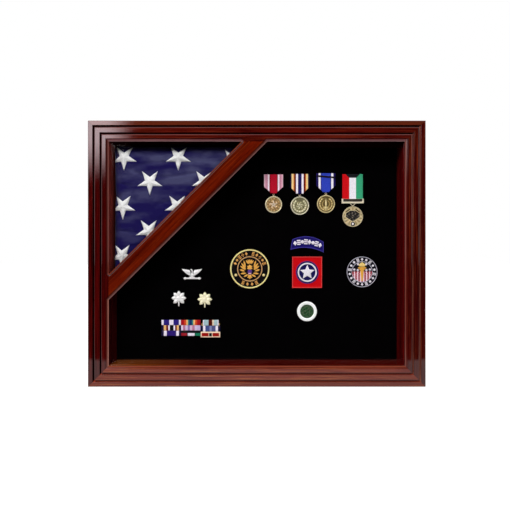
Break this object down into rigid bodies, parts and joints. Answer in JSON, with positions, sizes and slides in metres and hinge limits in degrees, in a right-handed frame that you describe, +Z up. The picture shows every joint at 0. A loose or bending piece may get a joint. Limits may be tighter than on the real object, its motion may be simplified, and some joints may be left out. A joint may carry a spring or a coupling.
{
  "type": "folded flag display case",
  "caption": "Glass-fronted wooden display case with a stepped moulding and a diagonal bar, parting a folded-flag box from a felt-backed medal box; turn-buttons hold the back.",
  "frame": {"origin": "centre of the bottom face, at half the depth of the wooden case", "axes": "+Z up, -Y out through the glass front, +X to the right as seen from the front"},
  "size_m": [0.597, 0.0813, 0.4705],
  "materials": {
    "mahogany_lacquer": "high gloss lacquer over red mahogany",
    "hardboard": "plain pressed hardboard",
    "black_felt": "black felt with a short nap",
    "clear_glass": "clear, polished",
    "zinc_plate": "zinc plated",
    "bumper_rubber": "matte",
    "flag_cotton": "navy cotton with white embroidered stars",
    "gold_metal": "struck and polished",
    "silver_metal": "polished silver plate",
    "pale_gold_metal": "polished pale gold plate",
    "ribbon_1": "ribbed ribbon, red with pale edges",
    "ribbon_2": "ribbed ribbon, navy, white and gold stripes",
    "ribbon_3": "ribbed ribbon, blue with white stripes",
    "ribbon_4": "ribbed ribbon, red, white and green",
    "tab_blue": "embroidered",
    "square_red": "embroidered",
    "patch_gold": "embroidered",
    "patch_silver": "embroidered",
    "pin_enamel": "enamel",
    "service_ribbons": "ribbed service ribbons"
  },
  "bodies": {
    "case": {"rail_top": "mahogany_lacquer", "rail_bottom": "mahogany_lacquer", "stile_left": "mahogany_lacquer", "stile_right": "mahogany_lacquer", "diagonal_face_bar": "mahogany_lacquer", "diagonal_partition": "mahogany_lacquer", "liner_top": "mahogany_lacquer", "liner_bottom": "mahogany_lacquer", "liner_left": "mahogany_lacquer", "liner_right": "mahogany_lacquer", "flag_back_panel": "hardboard", "medal_back_panel": "hardboard", "medal_felt_board": "black_felt", "front_glass": "clear_glass", "button_screw_flag_left": "zinc_plate", "button_screw_flag_top": "zinc_plate", "button_screw_diagonal": "zinc_plate", "button_screw_medal_top": "zinc_plate", "button_screw_medal_right": "zinc_plate", "button_screw_medal_bottom_right": "zinc_plate", "button_screw_medal_bottom_left": "zinc_plate", "hanger_plate_left": "zinc_plate", "hanger_screw_left": "zinc_plate", "wall_bumper_left": "bumper_rubber", "hanger_plate_right": "zinc_plate", "hanger_screw_right": "zinc_plate", "wall_bumper_right": "bumper_rubber", "folded_flag": "flag_cotton", "medal_ribbon_1": "ribbon_1", "medal_ribbon_2": "ribbon_2", "medal_ribbon_3": "ribbon_3", "medal_ribbon_4": "ribbon_4", "medal_bar_4": "gold_metal", "tab_patch": "tab_blue", "square_patch": "square_red", "gold_round_patch": "patch_gold", "silver_round_patch": "patch_silver", "round_pin": "pin_enamel", "bird_pin": "silver_metal", "leaf_pin_left": "silver_metal", "leaf_pin_right": "pale_gold_metal", "ribbon_rack": "service_ribbons"},
    "turn_button_flag_left": {"turn_button_flag_left": "zinc_plate"},
    "turn_button_flag_top": {"turn_button_flag_top": "zinc_plate"},
    "turn_button_diagonal": {"turn_button_diagonal": "zinc_plate"},
    "turn_button_medal_top": {"turn_button_medal_top": "zinc_plate"},
    "turn_button_medal_right": {"turn_button_medal_right": "zinc_plate"},
    "turn_button_medal_bottom_right": {"turn_button_medal_bottom_right": "zinc_plate"},
    "turn_button_medal_bottom_left": {"turn_button_medal_bottom_left": "zinc_plate"},
    "hanger_ring_left": {"hanger_ring_left": "zinc_plate"},
    "hanger_ring_right": {"hanger_ring_right": "zinc_plate"},
    "medal_1": {"medal_disc_1": "gold_metal", "medal_ring_1": "gold_metal"},
    "medal_2": {"medal_disc_2": "gold_metal", "medal_ring_2": "gold_metal"},
    "medal_3": {"medal_disc_3": "gold_metal", "medal_ring_3": "gold_metal"},
    "medal_4": {"medal_disc_4": "gold_metal", "medal_ring_4": "gold_metal"}
  },
  "joints": [
    {"name": "medal_1_swing", "type": "hinge", "parent": "case", "child": "medal_1", "pos_m": [0.0312, 0.0218, 0.3464], "axis": [-1, 0, 0], "range_deg": [0, 60]},
    {"name": "medal_2_swing", "type": "hinge", "parent": "case", "child": "medal_2", "pos_m": [0.0798, 0.0218, 0.3457], "axis": [-1, 0, 0], "range_deg": [0, 60]},
    {"name": "medal_3_swing", "type": "hinge", "parent": "case", "child": "medal_3", "pos_m": [0.1283, 0.0218, 0.3484], "axis": [-1, 0, 0], "range_deg": [0, 60]},
    {"name": "medal_4_swing", "type": "hinge", "parent": "case", "child": "medal_4", "pos_m": [0.178, 0.0218, 0.3298], "axis": [-1, 0, 0], "range_deg": [0, 45]},
    {"name": "turn_button_flag_left_turn", "type": "hinge", "parent": "case", "child": "turn_button_flag_left", "pos_m": [-0.2895, 0.0389, 0.3105], "axis": [0, 1, 0], "range_deg": [0, 90]},
    {"name": "turn_button_flag_top_turn", "type": "hinge", "parent": "case", "child": "turn_button_flag_top", "pos_m": [-0.1485, 0.0389, 0.4615], "axis": [0, 1, 0], "range_deg": [0, 90]},
    {"name": "turn_button_diagonal_turn", "type": "hinge", "parent": "case", "child": "turn_button_diagonal", "pos_m": [-0.13245, 0.0389, 0.30445], "axis": [0, 1, 0], "range_deg": [0, 90]},
    {"name": "turn_button_medal_top_turn", "type": "hinge", "parent": "case", "child": "turn_button_medal_top", "pos_m": [0.14, 0.0389, 0.4615], "axis": [0, 1, 0], "range_deg": [0, 90]},
    {"name": "turn_button_medal_right_turn", "type": "hinge", "parent": "case", "child": "turn_button_medal_right", "pos_m": [0.2895, 0.0389, 0.23525], "axis": [0, 1, 0], "range_deg": [0, 90]},
    {"name": "turn_button_medal_bottom_right_turn", "type": "hinge", "parent": "case", "child": "turn_button_medal_bottom_right", "pos_m": [0.15, 0.0389, 0.009], "axis": [0, 1, 0], "range_deg": [0, 90]},
    {"name": "turn_button_medal_bottom_left_turn", "type": "hinge", "parent": "case", "child": "turn_button_medal_bottom_left", "pos_m": [-0.15, 0.0389, 0.009], "axis": [0, 1, 0], "range_deg": [0, 90]},
    {"name": "hanger_ring_left_fold", "type": "hinge", "parent": "case", "child": "hanger_ring_left", "pos_m": [-0.2895, 0.0407, 0.3905], "axis": [-1, 0, 0], "range_deg": [0, 150]},
    {"name": "hanger_ring_right_fold", "type": "hinge", "parent": "case", "child": "hanger_ring_right", "pos_m": [0.2895, 0.0407, 0.3905], "axis": [-1, 0, 0], "range_deg": [0, 150]}
  ]
}
